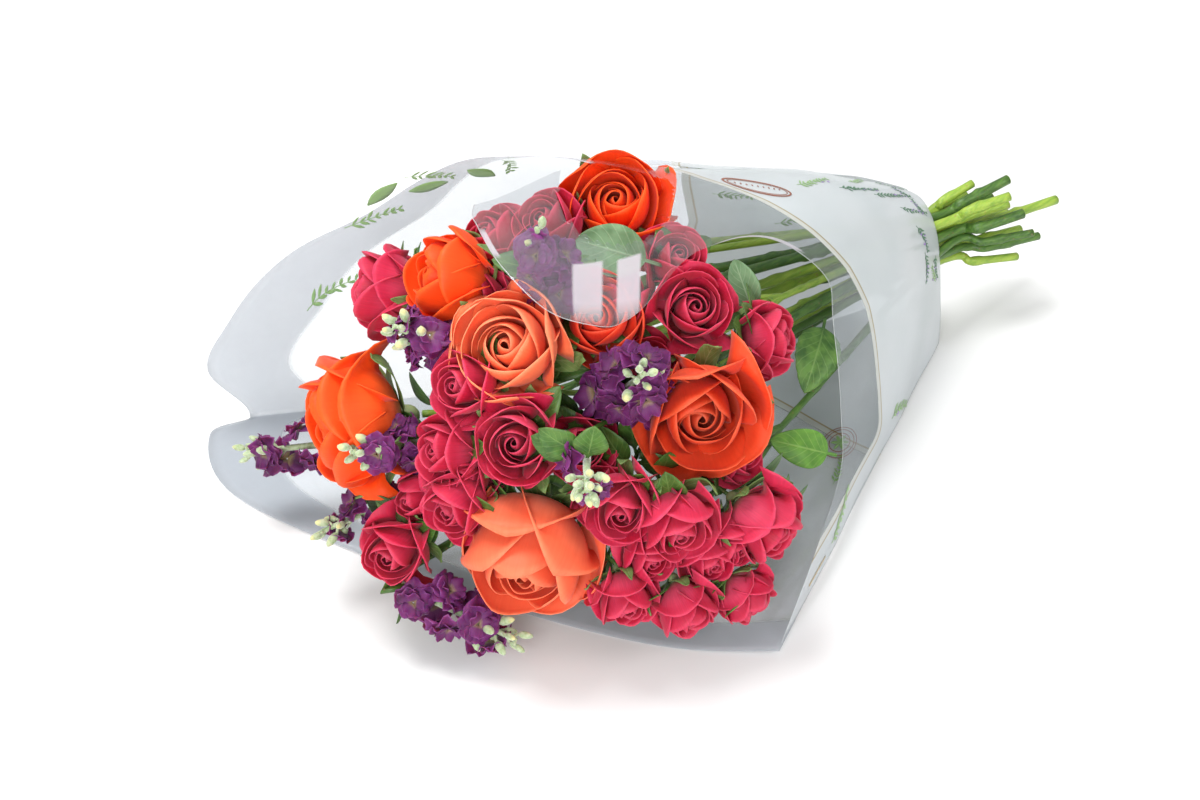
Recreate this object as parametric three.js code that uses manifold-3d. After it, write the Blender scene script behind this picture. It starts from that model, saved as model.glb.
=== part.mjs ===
// A mixed rose bouquet lying in its flat printed film sleeve.
// Millimetres, +Z up. The bunch lies along X: blooms at -X, cut stem ends at +X.
import * as THREE from 'three';
import { mergeVertices } from 'three/addons/utils/BufferGeometryUtils.js';
import Module from 'manifold-3d';

const wasm = await Module();
wasm.setup();

// Driving dimensions, mm.
const gap = 0.35; // clearance left between neighbouring pieces
const sleeve = {
  neckX: 330, // narrow end, round the stems
  mouthX: 39, // near seam's front corner
  neckNearY: -30,
  neckFarY: 30,
  neckHeight: 100,
  nearFlare: 118, // how far the near seam swings out between neck and mouth
  farFlare: 148,
  heightGain: 132,
  sectionWidth: 0.88, // 1 is a half ellipse, less is squarer
  sectionRoof: 0.94,
  droop: 26, // how far the loose tongue of the front panel sinks on to the blooms
  droopFrom: 75,
  droopRun: 90,
  film: 0.6,
};
const stemRadius = { rose: 3.1, spray: 2.7, stock: 3.3, branch: 1.7 };
const bundle = {
  x: 335, // middle of the tied bundle
  y: -4,
  z: 66,
  pitch: 8.2,
  reach: 2.2, // pitches from the middle to the outermost stems
  spread: 75, // how far out, seen from the look point, a bloom's stalk counts as outermost
  lookY: 5,
  lookZ: 100,
};
const band = { x: 300, width: 14, thickness: 2.2, innerPitches: 2.75, lift: 2 };
const headCentre = new THREE.Vector3(55, 15, 65); // the blooms face away from here

// Face centre x, y, z, then the diameter, then how the face is nodded from its radial direction.
const largeRoses = {
  rose_coral_front: [-72, -62, 63, 74, -0.1, -0.1, -0.2],
  rose_coral_middle: [-35, -13, 178, 64, -0.1, -0.15, 0],
  rose_coral_right: [26, -101, 134, 66, -0.4, 0.1, -0.3],
  rose_orange_top: [77, 16, 204, 64, -0.7, -0.5, 0],
  rose_orange_back: [-24, 62, 180, 53, -0.5, 0.3, -0.2],
  rose_orange_left: [-94, 75, 107, 74, -0.3, 0.2, -0.1],
  rose_red_middle: [22, -25, 172, 52, -0.3, -0.3, 0],
};
const smallRoses = {
  rose_pink_1: [-29, 112, 150, 49, -0.4, 0.2, -0.2],
  rose_pink_2: [39, 38, 200, 43, -0.5, 0, 0],
  rose_pink_3: [20, 62, 188, 40, -0.5, 0, 0],
  rose_pink_4: [63, -59, 175, 46, -0.5, -0.2, 0],
  rose_pink_5: [114, -81, 142, 41, 0.2, -0.2, -0.2],
  rose_pink_6: [82, -30, 187, 40, -0.3, -0.3, 0],
  rose_pink_7: [-57, -43, 140, 47, -0.1, -0.1, 0.1],
  rose_pink_8: [-59, 2, 155, 41, -0.3, 0.1, 0],
  rose_pink_9: [-75, 4, 120, 42, -0.2, 0.4, 0],
  rose_pink_10: [-71, -15, 106, 39, 0, -0.2, 0],
  rose_pink_11: [-84, -16, 92, 41, -0.2, 0.1, -0.2],
  rose_pink_12: [-106, 8, 59, 42, -0.1, -0.3, 0.2],
  rose_pink_13: [-32, -95, 105, 43, -0.3, 0.1, -0.2],
  rose_pink_14: [-9, -119, 90, 48, -0.2, -0.1, -0.35],
  rose_pink_15: [48, -140, 70, 48, 0.1, -0.2, -0.35],
  rose_pink_16: [-33, -105, 46, 36, 0, -0.2, -0.4],
  rose_pink_17: [-5, -126, 34, 38, 0, -0.3, -0.5],
  rose_pink_18: [32, -138, 29, 35, 0.2, -0.3, -0.5],
  rose_pink_19: [85, -86, 112, 38, 0.2, -0.1, -0.2],
  rose_pink_20: [-9, 39, 172, 40, -0.2, 0, 0],
};
// Middle x, y, z of each stock spike, then its diameter, length and nod.
const stockSpikes = {
  stock_spike_1: [8, 0, 206, 46, 56, 0, 0, 0],
  stock_spike_2: [7, -68, 160, 54, 62, 0, 0, 0],
  stock_spike_3: [-46, -86, 138, 36, 44, 0, 0, -0.3],
  stock_spike_4: [-49, 35, 163, 40, 56, 0, 0, 0],
  stock_spike_5: [-80, 34, 108, 40, 56, 0, 0, 0],
  stock_spike_6: [-71, 137, 45, 40, 60, 0, 0, 0],
  stock_spike_7: [-84, 60, 46, 34, 52, 0, 0, 0],
  stock_spike_8: [-78, -34, 27, 42, 70, 1.25, -0.55, 0.05],
};
// What each stem carries. A spray or a stock stem forks to its own blooms.
const stems = {
  stem_rose_1: ['rose_coral_front'],
  stem_rose_2: ['rose_coral_middle'],
  stem_rose_3: ['rose_coral_right'],
  stem_rose_4: ['rose_orange_top'],
  stem_rose_5: ['rose_orange_back'],
  stem_rose_6: ['rose_orange_left'],
  stem_rose_7: ['rose_red_middle'],
  stem_spray_1: ['rose_pink_1', 'rose_pink_2', 'rose_pink_3', 'rose_pink_20'],
  stem_spray_2: ['rose_pink_8', 'rose_pink_9', 'rose_pink_11', 'rose_pink_12'],
  stem_spray_3: ['rose_pink_7', 'rose_pink_10', 'rose_pink_13'],
  stem_spray_4: ['rose_pink_4', 'rose_pink_5', 'rose_pink_6', 'rose_pink_19'],
  stem_spray_5: ['rose_pink_14', 'rose_pink_15', 'rose_pink_16', 'rose_pink_17', 'rose_pink_18'],
  stem_stock_1: ['stock_spike_1'],
  stem_stock_2: ['stock_spike_2', 'stock_spike_3'],
  stem_stock_3: ['stock_spike_4', 'stock_spike_5'],
  stem_stock_4: ['stock_spike_6', 'stock_spike_7'],
  stem_stock_5: ['stock_spike_8'],
};
// How far past the bundle each stem is cut. The cut ends fan out and sink a little.
const cutReach = {
  stem_rose_1: 78,
  stem_rose_2: 70,
  stem_rose_3: 106,
  stem_rose_4: 50,
  stem_rose_5: 60,
  stem_rose_6: 76,
  stem_rose_7: 50,
  stem_spray_1: 46,
  stem_spray_2: 68,
  stem_spray_3: 80,
  stem_spray_4: 60,
  stem_spray_5: 62,
  stem_stock_1: 66,
  stem_stock_2: 58,
  stem_stock_3: 94,
  stem_stock_4: 82,
  stem_stock_5: 92,
};
const cutFan = { y: 0.6, z: 0.9, shiftY: -16, shiftZ: -3 };
// Stalk foot x, y, z, tip x, y, z, width, and whether the edge is toothed.
const leaves = {
  leaf_rose_dark: [[196, -40, 92], [146, -68, 78], 27, true],
  leaf_rose_bright: [[144, -96, 50], [108, -76, 70], 22, false],
  leaf_pale: [[118, -52, 134], [120, -33, 165], 17, false],
  leaf_grey_green: [[70, -26, 181], [42, 11, 193], 28, false],
};

const finish = (color, roughness) => new THREE.MeshStandardMaterial({ color, roughness, metalness: 0 });
const finishes = {
  coral: finish(0xf0603c, 0.55),
  orange: finish(0xf0420c, 0.55),
  red: finish(0xd82a24, 0.55),
  pink: finish(0xc41c50, 0.55),
  violet: finish(0x4c1a78, 0.7),
  stem: finish(0x5c8228, 0.6),
  leaf: finish(0x3f6b2c, 0.55),
  film: finish(0xdde6e8, 0.2),
  rubber: finish(0xb98a4e, 0.8),
};

// Manifold solids and three.js geometry, both ways.
function toSolid(geometry) {
  const bare = geometry.clone();
  bare.deleteAttribute('normal');
  bare.deleteAttribute('uv');
  const merged = mergeVertices(bare, 1e-4);
  const vertProperties = new Float32Array(merged.attributes.position.array);
  const triVerts = new Uint32Array(merged.index.array);
  return new wasm.Manifold(new wasm.Mesh({ numProp: 3, vertProperties, triVerts }));
}

function toGeometry(solid) {
  const mesh = solid.getMesh();
  const geometry = new THREE.BufferGeometry();
  geometry.setAttribute('position', new THREE.BufferAttribute(new Float32Array(mesh.vertProperties), 3));
  geometry.setIndex(new THREE.BufferAttribute(new Uint32Array(mesh.triVerts), 1));
  return geometry;
}

const boxOf = (solid) => {
  const { min, max } = solid.boundingBox();
  return new THREE.Box3(new THREE.Vector3(...min), new THREE.Vector3(...max));
};

// Adds one piece, cut back by the clearance from every piece placed before it.
const placed = [];
const model = new THREE.Group();
function addPiece(name, material, makeSolid) {
  let solid = makeSolid(0);
  const reach = boxOf(solid);
  for (const other of placed) {
    if (reach.intersectsBox(other.box)) solid = solid.subtract(other.grown);
  }
  const parts = solid.decompose();
  parts.sort((a, b) => b.volume() - a.volume());
  const grown = makeSolid(gap);
  placed.push({ grown, box: boxOf(grown) });
  const mesh = new THREE.Mesh(toGeometry(parts[0].simplify(0.02)), material);
  mesh.name = name;
  model.add(mesh);
}

// The sleeve: a cone of film pressed flat where it lies, with a rounded roof.
function sectionAt(x) {
  const t = Math.max((sleeve.neckX - x) / (sleeve.neckX - sleeve.mouthX), 0);
  const near = sleeve.neckNearY - sleeve.nearFlare * t;
  const far = sleeve.neckFarY + sleeve.farFlare * t ** 1.25;
  const height = sleeve.neckHeight + sleeve.heightGain * t ** 0.78;
  return { middle: (near + far) / 2, half: (far - near) / 2, height };
}

const power = (value, exponent) => Math.sign(value) * Math.abs(value) ** exponent;

// A point of the wall at angle 0 (near seam) to pi (far fold), `inset` mm inside the outer face.
function wallPoint(x, angle, inset) {
  const { middle, half, height } = sectionAt(x);
  const y = middle - (half - inset) * power(Math.cos(angle), sleeve.sectionWidth);
  const z = inset + (height - 2 * inset) * power(Math.sin(angle), sleeve.sectionRoof);
  return new THREE.Vector3(x, y, z);
}

function floorPoint(x, across, inset) {
  const { middle, half } = sectionAt(x);
  return new THREE.Vector3(x, middle + (half - inset) * (1 - 2 * across), inset);
}

// A closed thin shell over a grid: point(u, v, inset, grow), u and v from 0 to 1.
function shell(columns, rows, point, film, grow) {
  const positions = [];
  const corner = (i, j, inset) => point(i / columns, j / rows, inset, grow);
  const quad = (a, b, c, d) => {
    for (const p of [a, b, c, a, c, d]) positions.push(p.x, p.y, p.z);
  };
  for (let i = 0; i < columns; i += 1) {
    for (let j = 0; j < rows; j += 1) {
      const cell = [[i, j], [i + 1, j], [i + 1, j + 1], [i, j + 1]];
      quad(...cell.map(([a, b]) => corner(a, b, film.outer)));
      quad(...cell.reverse().map(([a, b]) => corner(a, b, film.inner)));
    }
  }
  const edge = (a, b) => quad(
    corner(...b, film.outer), corner(...a, film.outer), corner(...a, film.inner), corner(...b, film.inner),
  );
  for (let i = 0; i < columns; i += 1) {
    edge([i, 0], [i + 1, 0]);
    edge([i + 1, rows], [i, rows]);
  }
  for (let j = 0; j < rows; j += 1) {
    edge([0, j + 1], [0, j]);
    edge([columns, j], [columns, j + 1]);
  }
  const geometry = new THREE.BufferGeometry();
  geometry.setAttribute('position', new THREE.Float32BufferAttribute(positions, 3));
  return geometry;
}

// Straight interpolation through a short list of [place, value].
function along(list, place) {
  let k = 0;
  while (k < list.length - 2 && place > list[k + 1][0]) k += 1;
  const [p0, v0] = list[k];
  const [p1, v1] = list[k + 1];
  const s = THREE.MathUtils.clamp((place - p0) / (p1 - p0), 0, 1);
  return THREE.MathUtils.lerp(v0, v1, s);
}

const ridge = 95; // degrees, where the two panels are sealed on top
// The front panel's free edge from the ridge, round the tongue and the scoop, to the near seam:
// x, degrees round the wall, and the degrees that the film runs to at the narrow end.
const frontEdge = [[-2, 95, 95], [-24, 88, 92], [-41, 79, 88], [-43, 70, 84], [-22, 65, 80], [-4, 64, 78],
  [31, 65, 76], [72, 67, 74], [114, 67, 72], [138, 64, 69], [157, 56, 62], [165, 49, 55], [157, 43, 48],
  [151, 37, 41], [143, 23, 28], [136, 13, 16], [93, 6, 8], [44, 0, 0]];
// The back panel's free edge: [degrees round the wall, x] and [share across the floor, x].
const backWallEdge = [[95, 66], [110, 52], [125, 36], [140, 16], [152, -16], [164, -40], [172, -52],
  [180, -33]];
const backFloorEdge = [[0, -33], [0.04, -62], [0.2, -87], [0.42, -65], [0.6, -40], [0.8, -6], [1, 39]];
const floorShare = 0.45; // of the back panel's rows lie on the floor

function frontPoint(u, v, inset, grow) {
  const [edgeX, edgeAngle, neckAngle] = frontEdge[Math.round(u * (frontEdge.length - 1))];
  const x = THREE.MathUtils.lerp(edgeX - grow, sleeve.neckX + grow, v);
  const degrees = THREE.MathUtils.lerp(edgeAngle, neckAngle, 1 - (1 - v) ** 2);
  const { height, half } = sectionAt(x);
  const foot = Math.asin(((sleeve.film + gap - grow) / height) ** (1 / sleeve.sectionRoof));
  const seam = u === 0 ? grow / half : 0;
  const angle = Math.max(THREE.MathUtils.degToRad(degrees), foot) + seam;
  const point = wallPoint(x, angle, inset);
  const sunk = THREE.MathUtils.smoothstep(sleeve.droopFrom - x, 0, sleeve.droopRun);
  point.z -= sleeve.droop * sunk * Math.sin(angle) ** 2;
  return point;
}

function backPoint(u, v, inset, grow) {
  if (u < floorShare) {
    const across = 1 - u / floorShare;
    const x = THREE.MathUtils.lerp(along(backFloorEdge, across) - grow, sleeve.neckX + grow, v);
    return floorPoint(x, across, inset);
  }
  const up = (u - floorShare) / (1 - floorShare);
  const degrees = THREE.MathUtils.lerp(180, ridge, up);
  const x = THREE.MathUtils.lerp(along(backWallEdge, degrees) - grow, sleeve.neckX + grow, v);
  const top = THREE.MathUtils.degToRad(ridge) + (3 * gap - grow) / sectionAt(x).half;
  return wallPoint(x, THREE.MathUtils.lerp(Math.PI, top, up), inset);
}

const panel = (columns, rows, point, grow) => {
  const film = { outer: -grow, inner: sleeve.film + grow };
  return toSolid(shell(columns, rows, point, film, grow));
};

// A rose: the closed goblet of its outer petals with a dished face.
const roseProfile = [[0, -0.86], [0.1, -0.84], [0.17, -0.72], [0.36, -0.56], [0.48, -0.3], [0.5, -0.1],
  [0.4, 0.04], [0.22, -0.06], [0, -0.02]];
// A stock spike: a rounded column of florets.
const spikeProfile = [[0, -1], [0.28, -0.96], [0.5, -0.72], [0.48, -0.4], [0.34, -0.12], [0, 0]];

const latheAxis = new THREE.Vector3(0, 1, 0);
function lathed(profile, width, length, sides, centre, axis, grow) {
  const outline = profile.map(([r, h]) => new THREE.Vector2(r * width, h * length));
  const points = outline.map((point, k) => {
    const before = outline[Math.max(k - 1, 0)];
    const after = outline[Math.min(k + 1, outline.length - 1)];
    const run = after.clone().sub(before).normalize();
    const out = new THREE.Vector2(run.y, -run.x).multiplyScalar(1.4 * grow);
    if (point.x === 0) out.set(0, k === 0 ? -grow : grow);
    return point.clone().add(out);
  });
  const geometry = new THREE.LatheGeometry(points, sides);
  geometry.applyQuaternion(new THREE.Quaternion().setFromUnitVectors(latheAxis, axis));
  geometry.translate(centre.x, centre.y, centre.z);
  return toSolid(geometry);
}

// Every bloom's place, axis and the point where its stalk meets it.
const heads = {};
const axisOf = (centre, ...nod) => {
  const outward = centre.clone().sub(headCentre).normalize();
  return outward.add(new THREE.Vector3(...nod)).normalize();
};
const roses = { ...largeRoses, ...smallRoses };
for (const [name, [x, y, z, diameter, nodX, nodY, nodZ]] of Object.entries(roses)) {
  const centre = new THREE.Vector3(x, y, z);
  const axis = axisOf(centre, nodX, nodY, nodZ);
  heads[name] = { centre, axis, width: diameter, length: diameter, profile: roseProfile, foot: 0.86 };
}
for (const [name, [x, y, z, width, length, nodX, nodY, nodZ]] of Object.entries(stockSpikes)) {
  const middle = new THREE.Vector3(x, y, z);
  const axis = axisOf(middle, nodX, nodY, nodZ);
  const centre = middle.addScaledVector(axis, 0.35 * length);
  heads[name] = { centre, axis, width, length, profile: spikeProfile, foot: 1 };
}
const footOf = ({ centre, axis, foot, length }, extra) => (
  centre.clone().addScaledVector(axis, -foot * length - extra)
);

// A round rod swept along a smooth curve through a few points.
function rod(points, radius, steps, grow) {
  const curve = new THREE.CatmullRomCurve3(points, false, 'centripetal');
  const ring = new THREE.Shape();
  const sides = 6;
  for (let k = 0; k < sides; k += 1) {
    const angle = (2 * Math.PI * k) / sides;
    const move = k === 0 ? 'moveTo' : 'lineTo';
    ring[move]((radius + grow) * Math.cos(angle), (radius + grow) * Math.sin(angle));
  }
  ring.closePath();
  return toSolid(new THREE.ExtrudeGeometry(ring, { extrudePath: curve, steps, bevelEnabled: false }));
}

// Slots of a hexagonal bundle, and the free slot nearest to where a stem comes from.
const slots = [];
for (let row = -2; row <= 2; row += 1) {
  for (let column = -2; column <= 2; column += 1) {
    const y = (column + row / 2) * bundle.pitch;
    const z = row * bundle.pitch * Math.sqrt(0.75);
    if (Math.hypot(y, z) > bundle.reach * bundle.pitch) continue;
    slots.push(new THREE.Vector3(bundle.x, bundle.y + y, bundle.z + z));
  }
}
const meanFoot = (names) => {
  const total = new THREE.Vector3();
  for (const name of names) total.add(footOf(heads[name], gap));
  return total.divideScalar(names.length);
};
const wanted = Object.entries(stems).map(([name, carried]) => {
  const foot = meanFoot(carried);
  const scale = (2 * bundle.pitch) / bundle.spread;
  const y = bundle.y + (foot.y - bundle.lookY) * scale;
  const z = bundle.z + (foot.z - bundle.lookZ) * scale;
  return { name, carried, foot, y, z };
});
const outness = (stem) => Math.hypot(stem.y - bundle.y, stem.z - bundle.z);
wanted.sort((a, b) => outness(b) - outness(a));
for (const stem of wanted) {
  const away = (slot) => Math.hypot(slot.y - stem.y, slot.z - stem.z);
  slots.sort((a, b) => away(a) - away(b));
  stem.slot = slots.shift();
}

function stemSolid(stem, grow) {
  const kind = stem.name.split('_')[1];
  const radius = stemRadius[kind];
  const leanY = cutFan.shiftY + cutFan.y * (stem.slot.y - bundle.y);
  const leanZ = cutFan.shiftZ + cutFan.z * (stem.slot.z - bundle.z);
  const end = stem.slot.clone().add(new THREE.Vector3(cutReach[stem.name], leanY, leanZ));
  const beyond = stem.slot.clone().lerp(end, 0.5);
  if (stem.carried.length === 1) {
    const head = heads[stem.carried[0]];
    const foot = footOf(head, gap);
    const neck = footOf(head, 0.5 * head.width);
    return rod([end, beyond, stem.slot, neck.clone().lerp(stem.slot, 0.35), neck, foot], radius, 9, grow);
  }
  const fork = stem.foot.clone().lerp(stem.slot, 0.35);
  const trunkEnd = stem.foot.clone().lerp(stem.slot, 0.3);
  let solid = rod([end, beyond, stem.slot, fork, trunkEnd], radius, 8, grow);
  for (const name of stem.carried) {
    const head = heads[name];
    const foot = footOf(head, gap);
    const neck = footOf(head, 0.45 * head.width);
    solid = solid.add(rod([fork, trunkEnd.clone().lerp(neck, 0.4), neck, foot], stemRadius.branch, 5, grow));
  }
  return solid;
}

const leafBack = new THREE.Vector3(0.565, 0.565, -0.6); // the side of a blade that faces into the bunch
// A leaf blade with its stalk, cut from flat stock and laid between two points.
function leafSolid([foot, tip, width, toothed], grow) {
  const from = new THREE.Vector3(...foot);
  const run = new THREE.Vector3(...tip).sub(from);
  const length = run.length();
  const stalk = 0.22;
  const halfAt = (s) => {
    const blade = (s - stalk) / (1 - stalk);
    const tooth = toothed && Math.round(blade * 14) % 2 ? 0.9 : 1;
    return blade > 0 ? Math.max(1, 0.5 * width * Math.sin(Math.PI * blade ** 0.8) * tooth) : 1;
  };
  const outline = new THREE.Shape();
  const count = toothed ? 18 : 12;
  const reachAt = (k) => (k / count) * length + (k === count ? grow : 0);
  outline.moveTo(-grow, -1 - grow);
  for (let k = 1; k <= count; k += 1) outline.lineTo(reachAt(k), -halfAt(k / count) - grow);
  for (let k = count; k >= 1; k -= 1) outline.lineTo(reachAt(k), halfAt(k / count) + grow);
  outline.lineTo(-grow, 1 + grow);
  outline.closePath();
  const depth = 1.2 + 2 * grow;
  const geometry = new THREE.ExtrudeGeometry(outline, { depth, bevelEnabled: false });
  geometry.translate(0, 0, -depth / 2);
  const blade = run.clone().normalize();
  const side = leafBack.clone().cross(blade).normalize();
  const basis = new THREE.Matrix4().makeBasis(blade, side, blade.clone().cross(side));
  geometry.applyMatrix4(basis.setPosition(from));
  return toSolid(geometry);
}

// A flat rubber band round the bundle, a closed ring.
function bandSolid(grow) {
  const inner = band.innerPitches * bundle.pitch - grow;
  const outer = inner + band.thickness + 2 * grow;
  const half = band.width / 2 + grow;
  const corners = [[inner, -half], [outer, -half], [outer, half], [inner, half], [inner, -half]];
  const geometry = new THREE.LatheGeometry(corners.map(([r, h]) => new THREE.Vector2(r, h)), 24);
  geometry.rotateZ(-Math.PI / 2);
  geometry.translate(band.x, bundle.y, bundle.z + band.lift);
  return toSolid(geometry);
}

function addBloom(name) {
  const { profile, width, length, centre, axis } = heads[name];
  const material = name in stockSpikes ? finishes.violet : finishes[name.split('_')[1]];
  const sides = name in largeRoses ? 10 : 8;
  addPiece(name, material, (grow) => lathed(profile, width, length, sides, centre, axis, grow));
}

addPiece('sleeve_back_panel', finishes.film, (grow) => panel(20, 9, backPoint, grow));
addBloom('rose_orange_top'); // it stands out through the front panel, which is cut round it
addPiece('sleeve_front_panel', finishes.film, (grow) => panel(frontEdge.length - 1, 10, frontPoint, grow));
for (const stem of wanted) addPiece(stem.name, finishes.stem, (grow) => stemSolid(stem, grow));
addPiece('rubber_band', finishes.rubber, bandSolid);
for (const [name, leaf] of Object.entries(leaves)) {
  addPiece(name, finishes.leaf, (grow) => leafSolid(leaf, grow));
}
for (const name of Object.keys(heads)) {
  if (name !== 'rose_orange_top') addBloom(name);
}

// The origin goes to the middle of the underside of the whole bunch.
const bounds = new THREE.Box3().setFromObject(model);
const middle = bounds.getCenter(new THREE.Vector3());
model.position.set(-middle.x, -middle.y, -bounds.min.z);

const group = new THREE.Group();
group.add(model);

export default group;
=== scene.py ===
import math
import random

import bmesh
import bpy
from mathutils import Matrix, Vector, noise


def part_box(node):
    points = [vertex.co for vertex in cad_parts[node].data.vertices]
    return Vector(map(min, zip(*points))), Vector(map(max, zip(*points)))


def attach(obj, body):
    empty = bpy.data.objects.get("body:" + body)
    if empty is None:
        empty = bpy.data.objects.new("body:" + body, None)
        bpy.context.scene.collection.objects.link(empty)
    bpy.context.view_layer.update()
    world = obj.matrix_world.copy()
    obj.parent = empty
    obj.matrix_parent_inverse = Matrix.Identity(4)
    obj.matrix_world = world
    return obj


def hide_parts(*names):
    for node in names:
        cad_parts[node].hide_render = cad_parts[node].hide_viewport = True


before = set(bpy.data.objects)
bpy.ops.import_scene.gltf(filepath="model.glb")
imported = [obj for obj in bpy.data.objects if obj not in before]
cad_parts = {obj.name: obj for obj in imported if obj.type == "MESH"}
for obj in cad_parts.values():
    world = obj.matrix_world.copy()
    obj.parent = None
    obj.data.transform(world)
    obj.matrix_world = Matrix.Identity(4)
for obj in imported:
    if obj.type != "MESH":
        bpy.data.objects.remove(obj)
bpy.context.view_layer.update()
print("frame loaded:", len(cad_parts), "nodes")

mm = 0.001
golden = math.radians(137.5)
up = Vector((0, 0, 1))

# the sleeve's own measures, mm, in the bunch's drawing frame: cut ends at +x, near seam at -y
sleeve = {
    "neckX": 330, "mouthX": 39, "neckNear": -30, "neckFar": 30, "neckHeight": 100,
    "nearFlare": 118, "farFlare": 148, "farCurve": 1.25,
    "heightGain": 132, "heightCurve": 0.78, "width": 0.88, "roof": 0.94,
    "droop": 26, "droopFrom": 75, "droopRun": 90, "film": 0.15,
    "frontCrease": (1.6, 2.2), "backCrease": (1.8, 2.0),  # how far creases move the film in y and z
    "borderDegrees": 7, "borderPerDegree": 3.4, "borderRound": 12,  # printed strip beside the near seam
}
backLow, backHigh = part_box("sleeve_back_panel")
origin = Vector((backHigh.x - sleeve["neckX"] * mm,
                 backLow.y - (sleeve["neckNear"] - sleeve["nearFlare"]) * mm, 0))


def at(x, y, z):
    return Vector((x, y, z)) * mm + origin


def mix(a, b, share):
    return a + (b - a) * share


def smooth(value):
    value = min(max(value, 0.0), 1.0)
    return value * value * (3 - 2 * value)


def between(points, place):
    # straight reading of a short list of (place, value)
    for (p0, v0), (p1, v1) in zip(points, points[1:]):
        if place <= p1:
            return mix(v0, v1, min(max((place - p0) / (p1 - p0), 0), 1))
    return points[-1][1]


def newMaterial(name, colour, **sockets):
    made = bpy.data.materials.new(name)
    made.use_nodes = True
    shader = made.node_tree.nodes["Principled BSDF"]
    shader.inputs["Base Color"].default_value = (*colour, 1)
    for socket, value in sockets.items():
        shader.inputs[socket.replace("_", " ")].default_value = value
    return made


class Nodes:
    # short calls for the nodes that every finish here uses
    def __init__(self, made):
        self.tree = made.node_tree
        self.shader = self.tree.nodes["Principled BSDF"]

    def add(self, kind, **values):
        node = self.tree.nodes.new(kind)
        for name, value in values.items():
            setattr(node, name, value)
        return node

    def link(self, source, target):
        self.tree.links.new(source, target)

    def feed(self, socket, value):
        if isinstance(value, bpy.types.NodeSocket):
            self.link(value, socket)
        else:
            socket.default_value = value

    def attribute(self, name):
        return self.add("ShaderNodeAttribute", attribute_name=name).outputs["Fac"]

    def objectPlace(self):
        return self.add("ShaderNodeTexCoord").outputs["Object"]

    def math(self, operation, a, b=0.0):
        node = self.add("ShaderNodeMath", operation=operation)
        self.feed(node.inputs[0], a)
        self.feed(node.inputs[1], b)
        return node.outputs[0]

    def ramp(self, value, *stops):
        node = self.add("ShaderNodeValToRGB")
        self.feed(node.inputs["Fac"], value)
        points = node.color_ramp.elements
        while len(points) < len(stops):
            points.new(0.5)
        for point, (place, colour) in zip(points, stops):
            point.position = place
            point.color = (*colour, 1)
        return node.outputs["Color"]

    def range(self, value, low, high, toLow=0.0, toHigh=1.0):
        node = self.add("ShaderNodeMapRange", clamp=True)
        for slot, number in zip(node.inputs, (value, low, high, toLow, toHigh)):
            self.feed(slot, number)
        return node.outputs[0]

    def blend(self, share, a, b):
        node = self.add("ShaderNodeMix", data_type="RGBA")
        self.feed(node.inputs[0], share)
        self.feed(node.inputs[6], a if isinstance(a, bpy.types.NodeSocket) else (*a, 1))
        self.feed(node.inputs[7], b if isinstance(b, bpy.types.NodeSocket) else (*b, 1))
        return node.outputs[2]

    def mixShader(self, share, a, b):
        node = self.add("ShaderNodeMixShader")
        for slot, value in zip(node.inputs, (share, a, b)):
            self.feed(slot, value)
        return node.outputs[0]

    def noise(self, vector, scale, detail=3.0, rough=0.5):
        node = self.add("ShaderNodeTexNoise")
        self.link(vector, node.inputs["Vector"])
        for name, value in (("Scale", scale), ("Detail", detail), ("Roughness", rough)):
            node.inputs[name].default_value = value
        return node.outputs["Fac"]

    def vector(self, x, y, z):
        node = self.add("ShaderNodeCombineXYZ")
        for slot, value in zip(node.inputs, (x, y, z)):
            self.feed(slot, value)
        return node.outputs[0]

    def colour(self, value):
        self.feed(self.shader.inputs["Base Color"], value)

    def bump(self, height, strength, distance=0.0005):
        node = self.add("ShaderNodeBump")
        node.inputs["Strength"].default_value = strength
        node.inputs["Distance"].default_value = distance
        self.link(height, node.inputs["Height"])
        self.link(node.outputs[0], self.shader.inputs["Normal"])
        return node.outputs[0]


def petalFinish(name, heartShadeAndVein, middle, outer, rim, foot, veins=0.18):
    made = newMaterial(name, middle, Roughness=0.52, Sheen_Weight=0.06, Sheen_Roughness=0.4,
                       Specular_IOR_Level=0.22, Subsurface_Weight=0.2, Subsurface_Scale=0.004)
    made.node_tree.nodes["Principled BSDF"].inputs["Subsurface Radius"].default_value = (1.0, 0.35, 0.2)
    n = Nodes(made)
    rank, along, across = n.attribute("rank"), n.attribute("along"), n.attribute("across")
    tone = n.attribute("tone")
    # painted shade: the innermost petals take the darker heart colour, standing for the shade deep in the
    # bloom
    body = n.ramp(rank, (0.0, heartShadeAndVein), (0.34, middle), (1.0, outer))
    body = n.blend(n.range(along, 0.74, 0.4, 0, 0.85), body, foot)
    body = n.blend(n.range(along, 0.3, 0.08, 0, 0.6), body, (0.5, 0.42, 0.12))
    # painted highlight: the last tenth of each petal towards its rim is lightened with the rim colour
    body = n.blend(n.range(along, 0.9, 1.0, 0, 0.55), body, rim)
    line = n.noise(n.vector(n.math("MULTIPLY", across, 13.0), n.math("MULTIPLY", along, 1.6), tone), 1.6, 4.0)
    body = n.blend(n.range(line, 0.35, 0.7, 0, veins), body, heartShadeAndVein)
    cloud = n.noise(n.objectPlace(), 90.0, 2.0)
    body = n.blend(n.range(cloud, 0.35, 0.7, 0, 0.25), body, outer)
    body = n.blend(n.math("MULTIPLY", tone, 0.25), body, foot)
    n.colour(body)
    n.bump(line, 0.25)
    return made


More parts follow.
